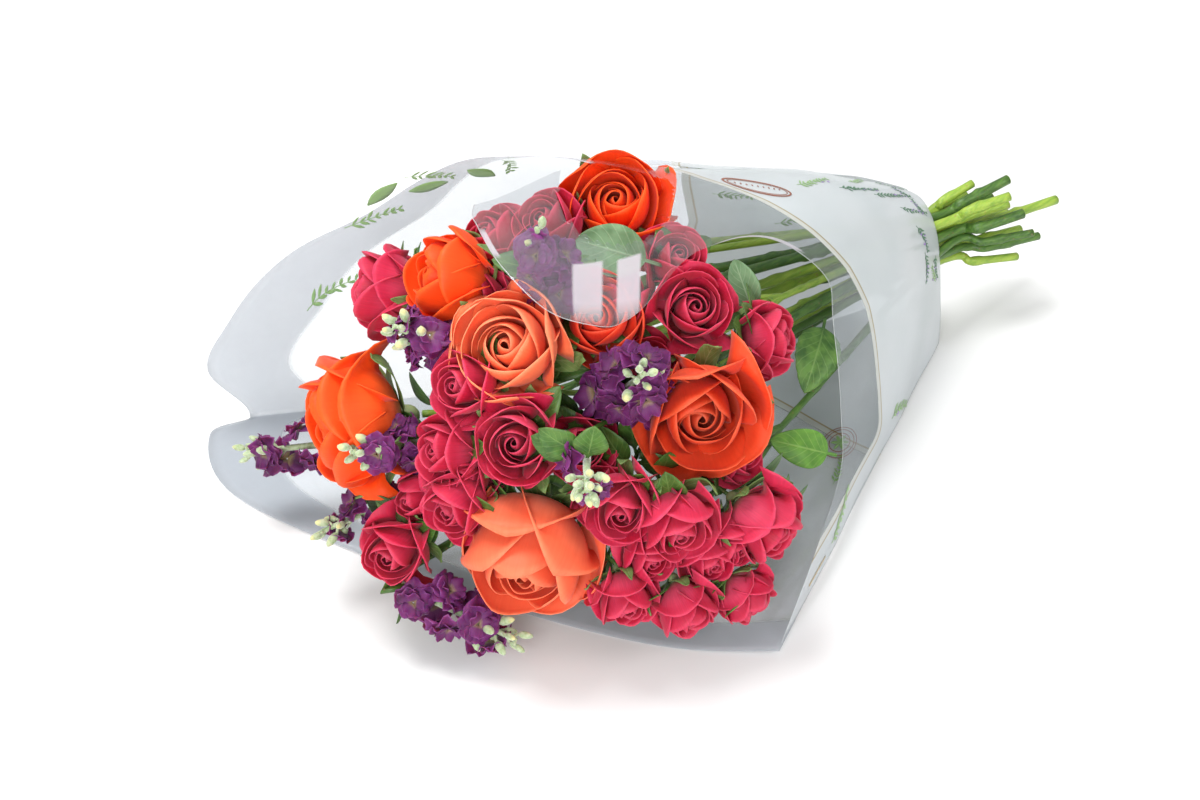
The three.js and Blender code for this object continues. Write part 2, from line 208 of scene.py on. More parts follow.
def leafFinish(name, light, dark, vein, rough=0.45):
    made = newMaterial(name, light, Roughness=rough, Specular_IOR_Level=0.4, Subsurface_Weight=0.08,
                       Subsurface_Scale=0.002)
    n = Nodes(made)
    across, along, tone = n.attribute("across"), n.attribute("along"), n.attribute("tone")
    side = n.math("ABSOLUTE", across)
    rib = n.range(side, 0.0, 0.07, 1, 0)
    comb = n.math("SINE", n.math("MULTIPLY", n.math("SUBTRACT", along, n.math("MULTIPLY", side, 0.28)), 52.0))
    lines = n.math("MAXIMUM", rib, n.range(comb, 0.86, 1.0, 0, 0.55))
    body = n.blend(n.range(n.noise(n.objectPlace(), 130.0), 0.35, 0.65), light, dark)
    body = n.blend(n.math("MULTIPLY", tone, 0.5), body, dark)
    body = n.blend(n.math("MULTIPLY", lines, 0.55), body, vein)
    n.colour(body)
    n.bump(lines, 0.4, 0.0004)
    return made


def stalkFinish(name, light, dark, scar):
    made = newMaterial(name, light, Roughness=0.42, Specular_IOR_Level=0.45, Subsurface_Weight=0.06,
                       Subsurface_Scale=0.002)
    n = Nodes(made)
    place = n.add("ShaderNodeMapping")
    n.link(n.objectPlace(), place.inputs["Vector"])
    place.inputs["Scale"].default_value = (14, 160, 160)
    streak = n.noise(place.outputs[0], 3.0, 5.0, 0.6)
    body = n.blend(n.range(streak, 0.35, 0.68), light, dark)
    spots = n.noise(n.objectPlace(), 420.0, 2.0)
    body = n.blend(n.range(spots, 0.66, 0.74, 0, 0.75), body, scar)
    n.colour(body)
    n.bump(streak, 0.35, 0.0006)
    return made


finishes = {
    # heart (inner petals darker: painted shade of the deep centre, also the colour of the veins), middle,
    # outer, rim (lighter petal edges: painted highlight), outside of the petals
    "coral": petalFinish("petalCoral", (0.6, 0.03, 0.008), (0.84, 0.1, 0.035), (0.9, 0.13, 0.05),
                         (0.98, 0.27, 0.13), (0.96, 0.26, 0.16)),
    "peach": petalFinish("petalPeach", (0.72, 0.07, 0.015), (0.92, 0.17, 0.06), (0.93, 0.19, 0.08),
                         (0.98, 0.34, 0.18), (0.95, 0.26, 0.14)),
    "deep": petalFinish("petalDeep", (0.26, 0.01, 0.003), (0.6, 0.035, 0.009), (0.76, 0.06, 0.016),
                        (0.92, 0.15, 0.06), (0.86, 0.11, 0.04)),
    "orange": petalFinish("petalOrange", (0.5, 0.01, 0.002), (0.88, 0.05, 0.003), (0.96, 0.07, 0.005),
                          (1.0, 0.14, 0.02), (0.95, 0.12, 0.02)),
    "red": petalFinish("petalRed", (0.4, 0.008, 0.005), (0.72, 0.03, 0.012), (0.82, 0.05, 0.018),
                       (0.92, 0.12, 0.05), (0.8, 0.09, 0.04)),
    "pink": petalFinish("petalPink", (0.13, 0.002, 0.008), (0.44, 0.007, 0.034), (0.58, 0.014, 0.062),
                        (0.78, 0.07, 0.16), (0.76, 0.09, 0.17), 0.3),
    "violet": petalFinish("floretViolet", (0.03, 0.002, 0.024), (0.1, 0.008, 0.085), (0.2, 0.025, 0.18),
                          (0.33, 0.09, 0.33), (0.15, 0.04, 0.13), 0.35),
    "leafGreen": leafFinish("leafGreen", (0.11, 0.23, 0.04), (0.035, 0.1, 0.016), (0.2, 0.33, 0.09)),
    "leafBright": leafFinish("leafBright", (0.14, 0.34, 0.035), (0.07, 0.2, 0.02), (0.3, 0.47, 0.11)),
    "leafGrey": leafFinish("leafGrey", (0.2, 0.33, 0.17), (0.11, 0.21, 0.09), (0.37, 0.48, 0.3), 0.6),
    "sepal": leafFinish("sepalGreen", (0.2, 0.31, 0.1), (0.1, 0.19, 0.045), (0.42, 0.47, 0.25), 0.6),
    "stalkLight": stalkFinish("stalkLight", (0.34, 0.47, 0.06), (0.17, 0.31, 0.035), (0.3, 0.2, 0.07)),
    "stalkDark": stalkFinish("stalkDark", (0.09, 0.19, 0.028), (0.03, 0.085, 0.014), (0.2, 0.13, 0.05)),
}


def budFinish():
    made = newMaterial("budFur", (0.42, 0.5, 0.3), Roughness=0.85, Sheen_Weight=0.8, Sheen_Roughness=0.35,
                       Subsurface_Weight=0.1, Subsurface_Scale=0.002)
    n = Nodes(made)
    along, tone = n.attribute("along"), n.attribute("tone")
    body = n.blend(n.range(n.noise(n.objectPlace(), 500.0), 0.3, 0.7), (0.27, 0.37, 0.17), (0.5, 0.57, 0.39))
    tip = n.math("MULTIPLY", n.range(along, 0.62, 0.86), n.range(tone, 0.45, 0.6))
    body = n.blend(n.math("MULTIPLY", tip, 0.8), body, (0.66, 0.62, 0.28))
    n.colour(body)
    n.bump(n.noise(n.objectPlace(), 1500.0, 2.0), 0.6, 0.0004)
    return made


finishes["bud"] = budFinish()
print("finishes made:", len(finishes))


def newBmesh():
    bm = bmesh.new()
    layers = {name: bm.verts.layers.float.new(name) for name in ("rank", "along", "across", "tone")}
    return bm, layers


def finishPiece(bm, name, finish, nodes=(), thickness=0.0):
    for face in bm.faces:
        face.smooth = True
    mesh = bpy.data.meshes.new(name)
    bm.to_mesh(mesh)
    bm.free()
    piece = bpy.data.objects.new(name, mesh)
    bpy.context.scene.collection.objects.link(piece)
    mesh.materials.append(finishes[finish] if isinstance(finish, str) else finish)
    if thickness:
        wall = piece.modifiers.new("wall", "SOLIDIFY")
        wall.thickness = thickness * mm
        wall.offset = 0
    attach(piece, "root")
    if nodes:
        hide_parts(*nodes)


def sheetOf(bm, layers, cells, point, rank=0.0, tone=0.0):
    # one petal or leaf: a grid whose every point (across -1..1, along 0..1) is set by a formula
    for v in bmesh.ops.create_grid(bm, x_segments=cells[0], y_segments=cells[1], size=1)["verts"]:
        across, along = v.co.x, (v.co.y + 1) / 2
        v[layers["across"]] = across
        v[layers["along"]] = along
        v[layers["rank"]] = rank
        v[layers["tone"]] = tone
        v.co = point(across, along)


def facing(centre, axis, scale, roll=0.0):
    # local z along the axis, local x as near to world up as it can be
    z = axis.normalized()
    x = up - z * up.dot(z)
    x = x.normalized() if x.length > 0.05 else Vector((1, 0, 0))
    turn = Matrix((x, z.cross(x), z)).transposed().to_4x4()
    return Matrix.Translation(centre) @ turn @ Matrix.Rotation(roll, 4, "Z") @ Matrix.Scale(scale, 4)


# each whorl: petals, rim radius from and to, rim height from and to, in bloom radii; wall in mm
roseForms = {
    "open": {"whorls": ((7, 0.03, 0.27, -0.15, -0.06), (4, 0.35, 0.48, -0.02, 0.03),
                        (5, 0.58, 0.76, 0.05, 0.0), (4, 0.86, 0.97, -0.12, -0.3)),
             "height": 1.35, "belly": 1.0, "curl": 0.15, "cells": (14, 16), "wall": 0.45},
    "cup": {"whorls": ((7, 0.03, 0.28, -0.42, -0.32), (4, 0.33, 0.42, -0.28, -0.16),
                       (4, 0.6, 0.76, 0.04, 0.04), (4, 0.84, 0.96, -0.06, -0.2)),
            "height": 1.4, "belly": 1.0, "curl": 0.19, "cells": (14, 16), "wall": 0.45},
    "dome": {"whorls": ((7, 0.03, 0.24, -0.14, -0.06), (4, 0.3, 0.42, -0.02, 0.06),
                        (4, 0.52, 0.66, 0.1, 0.0), (5, 0.76, 0.93, -0.1, -0.42)),
             "height": 1.45, "belly": 1.06, "curl": 0.16, "cells": (14, 16), "wall": 0.45},
    "spray": {"whorls": ((6, 0.03, 0.27, -0.14, -0.04), (4, 0.36, 0.5, 0.0, 0.04),
                         (4, 0.6, 0.76, 0.03, -0.08), (4, 0.84, 0.97, -0.2, -0.46)),
              "height": 1.5, "belly": 0.98, "curl": 0.2, "cells": (10, 12), "wall": 0.35},
    "bud": {"whorls": ((5, 0.03, 0.2, -0.02, 0.05), (4, 0.27, 0.4, 0.06, 0.02), (4, 0.5, 0.62, -0.05, -0.3)),
            "height": 1.7, "belly": 0.9, "curl": 0.16, "cells": (10, 12), "wall": 0.35},
}
# face centre x, y, z, diameter, nod x, y, z, form, and how far the upper petals hood the heart
largeRoses = {
    "rose_coral_front": (-72, -62, 63, 74, -0.1, -0.1, -0.2, "dome", 0.24),
    "rose_coral_middle": (-35, -13, 178, 64, -0.1, -0.15, 0, "open", 0.0),
    "rose_coral_right": (26, -101, 134, 66, -0.4, 0.1, -0.3, "cup", 0.16),
    "rose_orange_top": (77, 16, 204, 64, -0.7, -0.5, 0, "open", 0.1),
    "rose_orange_back": (-24, 62, 180, 53, -0.5, 0.3, -0.2, "dome", 0.0),
    "rose_orange_left": (-94, 75, 107, 74, -0.3, 0.2, -0.1, "open", 0.15),
    "rose_red_middle": (22, -25, 172, 52, -0.3, -0.3, 0, "open", 0.0),
}
smallRoses = {
    "rose_pink_1": (-29, 112, 150, 49, -0.4, 0.2, -0.2, "spray", 0),
    "rose_pink_2": (39, 38, 200, 43, -0.5, 0, 0, "spray", 0),
    "rose_pink_3": (20, 62, 188, 40, -0.5, 0, 0, "spray", 0),
    "rose_pink_4": (63, -59, 175, 46, -0.5, -0.2, 0, "spray", 0),
    "rose_pink_5": (114, -81, 142, 41, 0.2, -0.2, -0.2, "spray", 0),
    "rose_pink_6": (82, -30, 187, 40, -0.3, -0.3, 0, "spray", 0),
    "rose_pink_7": (-57, -43, 140, 47, -0.1, -0.1, 0.1, "spray", 0),
    "rose_pink_8": (-59, 2, 155, 41, -0.3, 0.1, 0, "spray", 0),
    "rose_pink_9": (-75, 4, 120, 42, -0.2, 0.4, 0, "spray", 0),
    "rose_pink_10": (-71, -15, 106, 39, 0, -0.2, 0, "spray", 0),
    "rose_pink_11": (-84, -16, 92, 41, -0.2, 0.1, -0.2, "spray", 0),
    "rose_pink_12": (-106, 8, 59, 42, -0.1, -0.3, 0.2, "spray", 0.1),
    "rose_pink_13": (-32, -95, 105, 43, -0.3, 0.1, -0.2, "spray", 0),
    "rose_pink_14": (-9, -119, 90, 48, -0.2, -0.1, -0.35, "spray", 0.2),
    "rose_pink_15": (48, -140, 70, 48, 0.1, -0.2, -0.35, "spray", 0.2),
    "rose_pink_16": (-33, -105, 46, 36, 0, -0.2, -0.4, "spray", 0),
    "rose_pink_17": (-5, -126, 34, 38, 0, -0.3, -0.5, "spray", 0),
    "rose_pink_18": (32, -138, 29, 35, 0.2, -0.3, -0.5, "spray", 0),
    "rose_pink_19": (85, -86, 112, 38, 0.2, -0.1, -0.2, "spray", 0),
    "rose_pink_20": (-9, 39, 172, 40, -0.2, 0, 0, "spray", 0),
}
# part-hidden small blooms that fill the head and have no solid of their own
fillRoses = {
    "fill_rose_1": (-20, -54, 120, 38, 0, 0, 0, "spray", 0),
    "fill_rose_2": (-84, 14, 84, 32, 0, 0, 0, "bud", 0),
    "fill_rose_3": (40, -50, 148, 40, 0, 0, 0, "spray", 0),
    "fill_rose_4": (-22, -74, 96, 36, 0, 0, 0, "spray", 0),
    "fill_rose_5": (12, -124, 62, 34, 0, 0, -0.2, "spray", 0),
    "fill_rose_6": (46, -20, 180, 34, 0, 0, 0, "bud", 0),
    "fill_rose_7": (28, -128, 66, 38, 0, 0, -0.2, "spray", 0),
    "fill_rose_8": (66, -128, 52, 32, 0.2, -0.2, -0.2, "spray", 0),
    "fill_rose_9": (-16, -106, 70, 34, 0, 0, -0.2, "spray", 0),
    "fill_rose_10": (60, -104, 100, 34, 0, 0, 0, "spray", 0),
}
headCentre = Vector((55, 15, 65))
stalkFoot = 0.86


def headAxis(place, nod):
    return ((place - headCentre).normalized() + nod).normalized()


heads = {}
for name, (x, y, z, wide, nodX, nodY, nodZ, form, hood) in {**largeRoses, **smallRoses, **fillRoses}.items():
    place = Vector((x, y, z))
    axis = headAxis(place, Vector((nodX, nodY, nodZ)))
    heads[name] = {"centre": place, "axis": axis, "width": wide, "length": wide, "foot": stalkFoot,
                   "form": form, "hood": hood}


def rosePetal(bm, layers, place, form, petal, jitter, hood):
    rank, spin, rimRadius, rimHeight = petal
    height = form["height"]
    rimRadius *= 1 + 0.06 * jitter()
    rimHeight += 0.045 * jitter() * (0.4 + rank)
    belly = (0.24 + 0.72 * rank) * form["belly"]
    wrap = math.radians(58 + 100 * (1 - rank) ** 2.2) * (1 + 0.1 * jitter())
    spiral = 0.04 + 0.36 * (1 - rank) ** 2 + 0.05 * jitter() * rank
    curl = form["curl"] * (0.12 + 0.95 * rank ** 1.3) * (1 + 0.45 * jitter())
    rounding = mix(0.12, 0.5, rank ** 0.6)
    tipPoint = 0.05 * rank * (1 + jitter())
    phase, tone = jitter() * 3, abs(jitter())
    dent = 0.05 * rank * jitter()
    waves = 1.5 + 1.5 * abs(jitter())

    def point(across, along):
        side = abs(across)
        t = along * (1 - rounding * side ** 2.4 + tipPoint * (1 - side) ** 2 * along ** 4)
        k = 1 - t
        b0, b1, b2, b3 = k ** 3, 3 * k * k * t, 3 * k * t * t, t ** 3
        r = b0 * 0.06 + b1 * belly * 0.98 + b2 * belly * 1.16 + b3 * rimRadius
        z = -b0 * height - b1 * height * 0.88 + b2 * (-0.4 + 0.5 * rimHeight) + b3 * rimHeight
        lip = smooth((along - 0.7) / 0.3)
        fold = curl * lip * (0.5 + 0.95 * side ** 2)
        r += fold
        z -= fold * lip * (0.8 + 0.5 * side)
        turn = spin + across * wrap * (0.42 + 0.58 * smooth(t / 0.55))
        r *= 1 + spiral * across
        r += dent * math.cos(2.6 * across + phase) * smooth(t * 1.6)
        ruffle = 0.028 * rank * t ** 3 * math.sin(waves * across * 2.2 + phase)
        z += ruffle + hood * rank ** 2 * t * t * math.cos(turn)
        r -= 0.3 * hood * rank ** 2 * t * t * math.cos(turn) - ruffle
        return place @ Vector((r * math.cos(turn), r * math.sin(turn), z))

    sheetOf(bm, layers, form["cells"], point, rank, tone)


def buildRose(name, head, finish, nodes):
    rng = random.Random(name)
    form = roseForms[head["form"]]
    outermost = form["whorls"][-1][2]
    size = head["width"] / 2 / (max(outermost, form["belly"] * 0.88) + 0.3 * form["curl"]) * mm
    place = facing(at(*head["centre"]), head["axis"], size, rng.uniform(-0.25, 0.25))
    bm, layers = newBmesh()
    total = sum(whorl[0] for whorl in form["whorls"])
    spin, made = rng.uniform(0, 6.28), 0
    for count, innerRadius, outerRadius, innerHeight, outerHeight in form["whorls"]:
        for k in range(count):
            share = k / (count - 1)
            rank = made / (total - 1)
            petal = (rank, spin, mix(innerRadius, outerRadius, share), mix(innerHeight, outerHeight, share))
            rosePetal(bm, layers, place, form, petal, lambda: rng.uniform(-1, 1), head["hood"])
            spin += golden + rng.uniform(-0.2, 0.2)
            made += 1
    finishPiece(bm, name if not nodes else name + "_petals", finish, nodes, form["wall"])
    buildCalyx(name, place, form, rng)


# in bloom radii; wall in mm
calyx = {"hip": 0.17, "hipTall": 1.25, "sepals": 5, "sepalWidth": 0.19, "wall": 0.5}


def buildCalyx(name, place, form, rng):
    # the green cup under a bloom with its five sepals
    bm, layers = newBmesh()
    height = form["height"]
    hip = bmesh.ops.create_uvsphere(bm, u_segments=12, v_segments=8, radius=calyx["hip"])["verts"]
    for v in hip:
        v[layers["along"]] = 0.3
        v[layers["tone"]] = 0.3
        v.co = place @ Vector((v.co.x, v.co.y, v.co.z * calyx["hipTall"] - height - 0.08))
    start = rng.uniform(0, 6.28)
    for k in range(calyx["sepals"]):
        spin = start + k * math.tau / calyx["sepals"] + rng.uniform(-0.15, 0.15)
        reach, opening = rng.uniform(1.05, 1.5), rng.uniform(0.1, 0.7)

        def point(across, along):
            swell = math.sin(math.pi * min(0.16 + 0.84 * along, 1)) ** 0.8
            half = calyx["sepalWidth"] * swell * (1 - 0.55 * along)
            r = 0.1 + 0.96 * math.sin(min(along * 1.5, 1.0) * math.pi / 2) + opening * 0.35 * along ** 3
            z = -height - 0.02 + reach * (0.72 * along ** 1.5) - opening * 0.75 * along ** 4
            a = spin + across * half / max(r, 0.2) * 1.2
            r += 0.03 * across * across
            return place @ Vector((r * math.cos(a), r * math.sin(a), z))

        sheetOf(bm, layers, (4, 9), point, 0.5, rng.uniform(0, 1))
    finishPiece(bm, name + "_calyx", "sepal", (), calyx["wall"])


for name in largeRoses:
    kind = name.split("_")[1]
    slot = "petal_coral" if kind == "coral" else "petal_orange"
    kind = {"rose_coral_middle": "peach", "rose_coral_right": "deep"}.get(name, kind)
    buildRose(name, heads[name], kind, (name,))
for name in smallRoses:
    buildRose(name, heads[name], "pink", (name,))
for name in fillRoses:
    buildRose(name, heads[name], "pink", ())
print("roses made:", len(largeRoses) + len(smallRoses) + len(fillRoses))

# stock: middle x, y, z, width, length, nod x, y, z, florets, buds, tone from dark 0 to light 1
stockSpikes = {
    "stock_spike_1": (8, 0, 206, 46, 56, 0, 0, 0, 7, 2, 0.8),
    "stock_spike_2": (7, -68, 160, 54, 62, 0, 0, 0, 8, 8, 0.3),
    "stock_spike_3": (-46, -86, 138, 36, 44, 0, 0, -0.3, 2, 12, 0.5),
    "stock_spike_4": (-49, 35, 163, 40, 56, 0, 0, 0, 6, 9, 0.5),
    "stock_spike_5": (-80, 34, 108, 40, 56, 0, 0, 0, 5, 10, 0.4),
    "stock_spike_6": (-71, 137, 45, 40, 60, 0, 0, 0, 5, 10, 0.12),
    "stock_spike_7": (-84, 60, 46, 34, 52, 0, 0, 0, 4, 7, 0.12),
    "stock_spike_8": (-78, -34, 27, 42, 70, 1.25, -0.55, 0.05, 7, 11, 0.3),
}
for name, (x, y, z, wide, length, nodX, nodY, nodZ, *_) in stockSpikes.items():
    place = Vector((x, y, z))
    axis = headAxis(place, Vector((nodX, nodY, nodZ)))
    heads[name] = {"centre": place + axis * 0.35 * length, "axis": axis, "width": wide, "length": length,
                   "foot": 1.0}


# each ring of a floret: petals, length, lift; the rest in mm or in shares of the spike from foot to tip
spike = {
    "rings": ((5, 1.0, 0.0), (4, 0.85, 0.45), (3, 0.6, 1.0)), "floretSize": (11.5, 14.5), "floretWall": 0.25,
    "floretsFrom": 0.18, "floretsRun": 0.62, "budsFrom": 0.6, "budsRun": 0.4, "budLength": (8, 11.5),
    "stick": (0.9, 0.8), "stalk": (2.4, 1.3), "usualWidth": 46,
}


def buildFloret(bm, layers, place, rng, light):
    # a doubled floret: three rings of ruffled petals
    for ring, (count, length, lift) in enumerate(spike["rings"]):
        for k in range(count):
            spin = (k + 0.5 * ring) * math.tau / count + rng.uniform(-0.35, 0.35)
            size = length * rng.uniform(0.8, 1.15)
            phase, bend = rng.uniform(0, 6.28), lift + rng.uniform(-0.25, 0.35)
            twist, notch = rng.uniform(-0.5, 0.5), rng.uniform(0.02, 0.14)

            def point(across, along):
                edge = 1 - 0.3 * across ** 4 - notch * math.exp(-(across / 0.25) ** 2)
                out = size * (0.06 + 0.94 * along * edge)
                half = 0.66 * size * math.sin(math.pi * min(0.08 + 0.6 * along, 0.9)) ** 0.8
                ruffle = 0.2 * along ** 1.6 * math.sin(4.6 * across + phase) * size
                sag = bend * out - 0.6 * (0.3 + bend) * out * out + ruffle + twist * across * along * 0.3
                x, y = out, across * half
                return place @ Vector((x * math.cos(spin) - y * math.sin(spin),
                                       x * math.sin(spin) + y * math.cos(spin), sag))

            tone = min(max(light + rng.uniform(-0.35, 0.35), 0), 1)
            sheetOf(bm, layers, (7, 7), point, mix(0.15, 1.0, tone), tone * 0.9)


def buildBud(bm, layers, foot, direction, length, rng):
    tone = rng.random()
    place = facing(foot, direction, length)
    made = bmesh.ops.create_icosphere(bm, subdivisions=2, radius=1)["verts"]
    for v in made:
        z = (v.co.z + 1) / 2
        a = math.atan2(v.co.y, v.co.x)
        ridge = 1 + 0.13 * math.cos(4 * a) * z
        wide = 0.27 * ridge * (1.15 - 0.35 * z)
        v[layers["along"]] = z
        v[layers["tone"]] = tone
        v.co = place @ Vector((v.co.x * wide, v.co.y * wide, z))


def buildSpike(name, spec):
    rng = random.Random(name + "s")
    x, y, z, wide, length, nodX, nodY, nodZ, florets, buds, light = spec
    head = heads[name]
    axis = head["axis"]
    tip = at(*head["centre"])
    side = axis.cross(Vector((0.3, 0.2, 1))).normalized()
    petals, petalLayers = newBmesh()
    fur, furLayers = newBmesh()
    for k in range(florets):
        share = spike["floretsFrom"] + spike["floretsRun"] * k / max(florets - 1, 1)
        spin = Matrix.Rotation(k * golden + rng.uniform(-0.2, 0.2), 3, axis)
        out = spin @ side
        back = tip - axis * length * mm * (1 - share)
        reach = wide / 2 * mm * mix(0.62, 0.34, share)
        face = (out + axis * mix(0.25, 1.0, share)).normalized()
        size = rng.uniform(*spike["floretSize"]) * mm * (wide / spike["usualWidth"]) ** 0.5
        place = facing(back + out * reach, face, size, rng.uniform(0, 6))
        buildFloret(petals, petalLayers, place, rng, light)
    for k in range(buds):
        share = spike["budsFrom"] + spike["budsRun"] * (k + 1) / buds
        rise = (share - spike["budsFrom"]) / spike["budsRun"]
        spin = Matrix.Rotation(k * golden * 1.03 + 1, 3, axis)
        out = spin @ side
        back = tip - axis * length * mm * (1.02 - share)
        direction = (out * mix(1.0, 0.2, rise) + axis * 0.9).normalized()
        foot = back + out * 2.5 * mm
        start = foot + direction * rng.uniform(1.5, 5) * mm * mix(1.6, 0.6, rise)
        budLength = rng.uniform(*spike["budLength"]) * mm * mix(1.0, 0.75, rise)
        buildBud(fur, furLayers, start, direction, budLength, rng)
        low, high = spike["stick"]
        stick = bmesh.ops.create_cone(fur, segments=6, radius1=low * mm, radius2=high * mm,
                                      depth=(start - back).length + 1 * mm, cap_ends=True)["verts"]
        turn = facing((start + back) / 2, (start - back), 1)
        for v in stick:
            v[furLayers["tone"]] = 0.2
            v.co = turn @ v.co
    low, high = spike["stalk"]
    stalk = bmesh.ops.create_cone(fur, segments=8, radius1=low * mm, radius2=high * mm, depth=length * mm,
                                  cap_ends=True)["verts"]
    turn = facing(tip - axis * length * mm / 2, axis, 1)
    for v in stalk:
        v[furLayers["tone"]] = 0.2
        v.co = turn @ v.co
    finishPiece(petals, name + "_florets", "violet", (name,), spike["floretWall"])
    finishPiece(fur, name + "_buds", "bud")


for name, spec in stockSpikes.items():
    buildSpike(name, spec)
print("stock spikes made:", len(stockSpikes))

# each stem and the heads that it carries
stems = {
    "stem_rose_1": ("rose_coral_front",),
    "stem_rose_2": ("rose_coral_middle",),
    "stem_rose_3": ("rose_coral_right",),
    "stem_rose_4": ("rose_orange_top",),
    "stem_rose_5": ("rose_orange_back",),
    "stem_rose_6": ("rose_orange_left",),
    "stem_rose_7": ("rose_red_middle",),
    "stem_spray_1": ("rose_pink_1", "rose_pink_2", "rose_pink_3", "rose_pink_20"),
    "stem_spray_2": ("rose_pink_8", "rose_pink_9", "rose_pink_11", "rose_pink_12"),
    "stem_spray_3": ("rose_pink_7", "rose_pink_10", "rose_pink_13"),
    "stem_spray_4": ("rose_pink_4", "rose_pink_5", "rose_pink_6", "rose_pink_19"),
    "stem_spray_5": ("rose_pink_14", "rose_pink_15", "rose_pink_16", "rose_pink_17", "rose_pink_18"),
    "stem_stock_1": ("stock_spike_1",),
    "stem_stock_2": ("stock_spike_2", "stock_spike_3"),
    "stem_stock_3": ("stock_spike_4", "stock_spike_5"),
    "stem_stock_4": ("stock_spike_6", "stock_spike_7"),
    "stem_stock_5": ("stock_spike_8",),
}
# how far each cut end stands out past the tied bundle, mm
cutReach = {
    "stem_rose_1": 78, "stem_rose_2": 70, "stem_rose_3": 106, "stem_rose_4": 50, "stem_rose_5": 60,
    "stem_rose_6": 76, "stem_rose_7": 50, "stem_spray_1": 46, "stem_spray_2": 68, "stem_spray_3": 80,
    "stem_spray_4": 60, "stem_spray_5": 62, "stem_stock_1": 66, "stem_stock_2": 58, "stem_stock_3": 94,
    "stem_stock_4": 82, "stem_stock_5": 92,
}
cutFan = {"y": 0.6, "z": 0.9, "shiftY": -16, "shiftZ": -3}
stemRadius = {"rose": 3.1, "spray": 2.7, "stock": 3.3, "branch": 1.7}
bundle = {"x": 335, "y": -4, "z": 66, "pitch": 8.2, "reach": 2.2, "scale": 2 / 75, "lookY": 5, "lookZ": 100}
darkStalks = ("stem_spray_3", "stem_spray_5", "stem_rose_5")  # beside those of the stock
closeNecks = ("stem_stock_5",)  # these turn into their head late


def footOf(head, extra=0.0):
    return head["centre"] - head["axis"] * (head["foot"] * head["length"] + extra)


def bundleSlots():
    found = []
    for row in range(-2, 3):
        for column in range(-2, 3):
            y = (column + row / 2) * bundle["pitch"]
            z = row * bundle["pitch"] * math.sqrt(0.75)
            if math.hypot(y, z) < bundle["reach"] * bundle["pitch"]:
                found.append(Vector((bundle["x"], bundle["y"] + y, bundle["z"] + z)))
    return found


def planStems():
    plans = []
    for name, carried in stems.items():
        foot = sum((footOf(heads[c]) for c in carried), Vector()) / len(carried)
        scale = bundle["scale"] * bundle["pitch"]
        y = bundle["y"] + (foot.y - bundle["lookY"]) * scale
        z = bundle["z"] + (foot.z - bundle["lookZ"]) * scale
        plans.append({"name": name, "carried": carried, "foot": foot, "y": y, "z": z})
    plans.sort(key=lambda p: -math.hypot(p["y"] - bundle["y"], p["z"] - bundle["z"]))
    free = bundleSlots()
    for plan in plans:
        free.sort(key=lambda s: math.hypot(s.y - plan["y"], s.z - plan["z"]))
        plan["slot"] = free.pop(0)
    return plans


def curveThrough(points, step):
    # points every `step` mm along a smooth curve through a few points
    padded = [points[0] * 2 - points[1], *points, points[-1] * 2 - points[-2]]
    route = []
    for a, b, c, d in zip(padded, padded[1:], padded[2:], padded[3:]):
        count = max(2, round((c - b).length / step))
        for k in range(count):
            t = k / count
            route.append(0.5 * ((2 * b) + (c - a) * t + (2 * a - 5 * b + 4 * c - d) * t * t
                                + (3 * b - a - 3 * c + d) * t ** 3))
    return [*route, points[-1]]


def addRod(curve, route, radius, rng, knots, thin=0.7):
    # one spline of a bevelled curve, swollen at its leaf joints
    spline = curve.splines.new("POLY")
    spline.points.add(len(route) - 1)
    run = 0.0
    joints = [rng.uniform(18, 40) + k * rng.uniform(38, 62) for k in range(9)] if knots else []
    for k, place in enumerate(route):
        if k:
            run += (place - route[k - 1]).length
        swell = sum(math.exp(-((run - j) / 3.2) ** 2) for j in joints)
        wobble = 0.06 * noise.noise(place * 0.05)
        spline.points[k].co = (*at(*place), 1)
        slim = mix(1, thin, smooth((k / len(route) - 0.45) / 0.5))
        spline.points[k].radius = radius * slim * (1 + 0.32 * swell * slim + wobble)


def rodMesh(curve, name):
    # a bevelled curve made into a closed mesh
    curve.dimensions = "3D"
    curve.bevel_depth = mm
    curve.bevel_resolution = 3
    curve.use_fill_caps = True
    holder = bpy.data.objects.new(name, curve)
    bpy.context.scene.collection.objects.link(holder)
    bpy.context.view_layer.update()
    mesh = bpy.data.meshes.new_from_object(holder.evaluated_get(bpy.context.evaluated_depsgraph_get()))
    bpy.data.objects.remove(holder)
    return mesh


def meshPiece(mesh, name, finish, nodes=()):
    bm = bmesh.new()
    bm.from_mesh(mesh)
    bmesh.ops.remove_doubles(bm, verts=bm.verts, dist=1e-6)
    bmesh.ops.recalc_face_normals(bm, faces=bm.faces)
    finishPiece(bm, name, finish, nodes)


cutPlaces = []


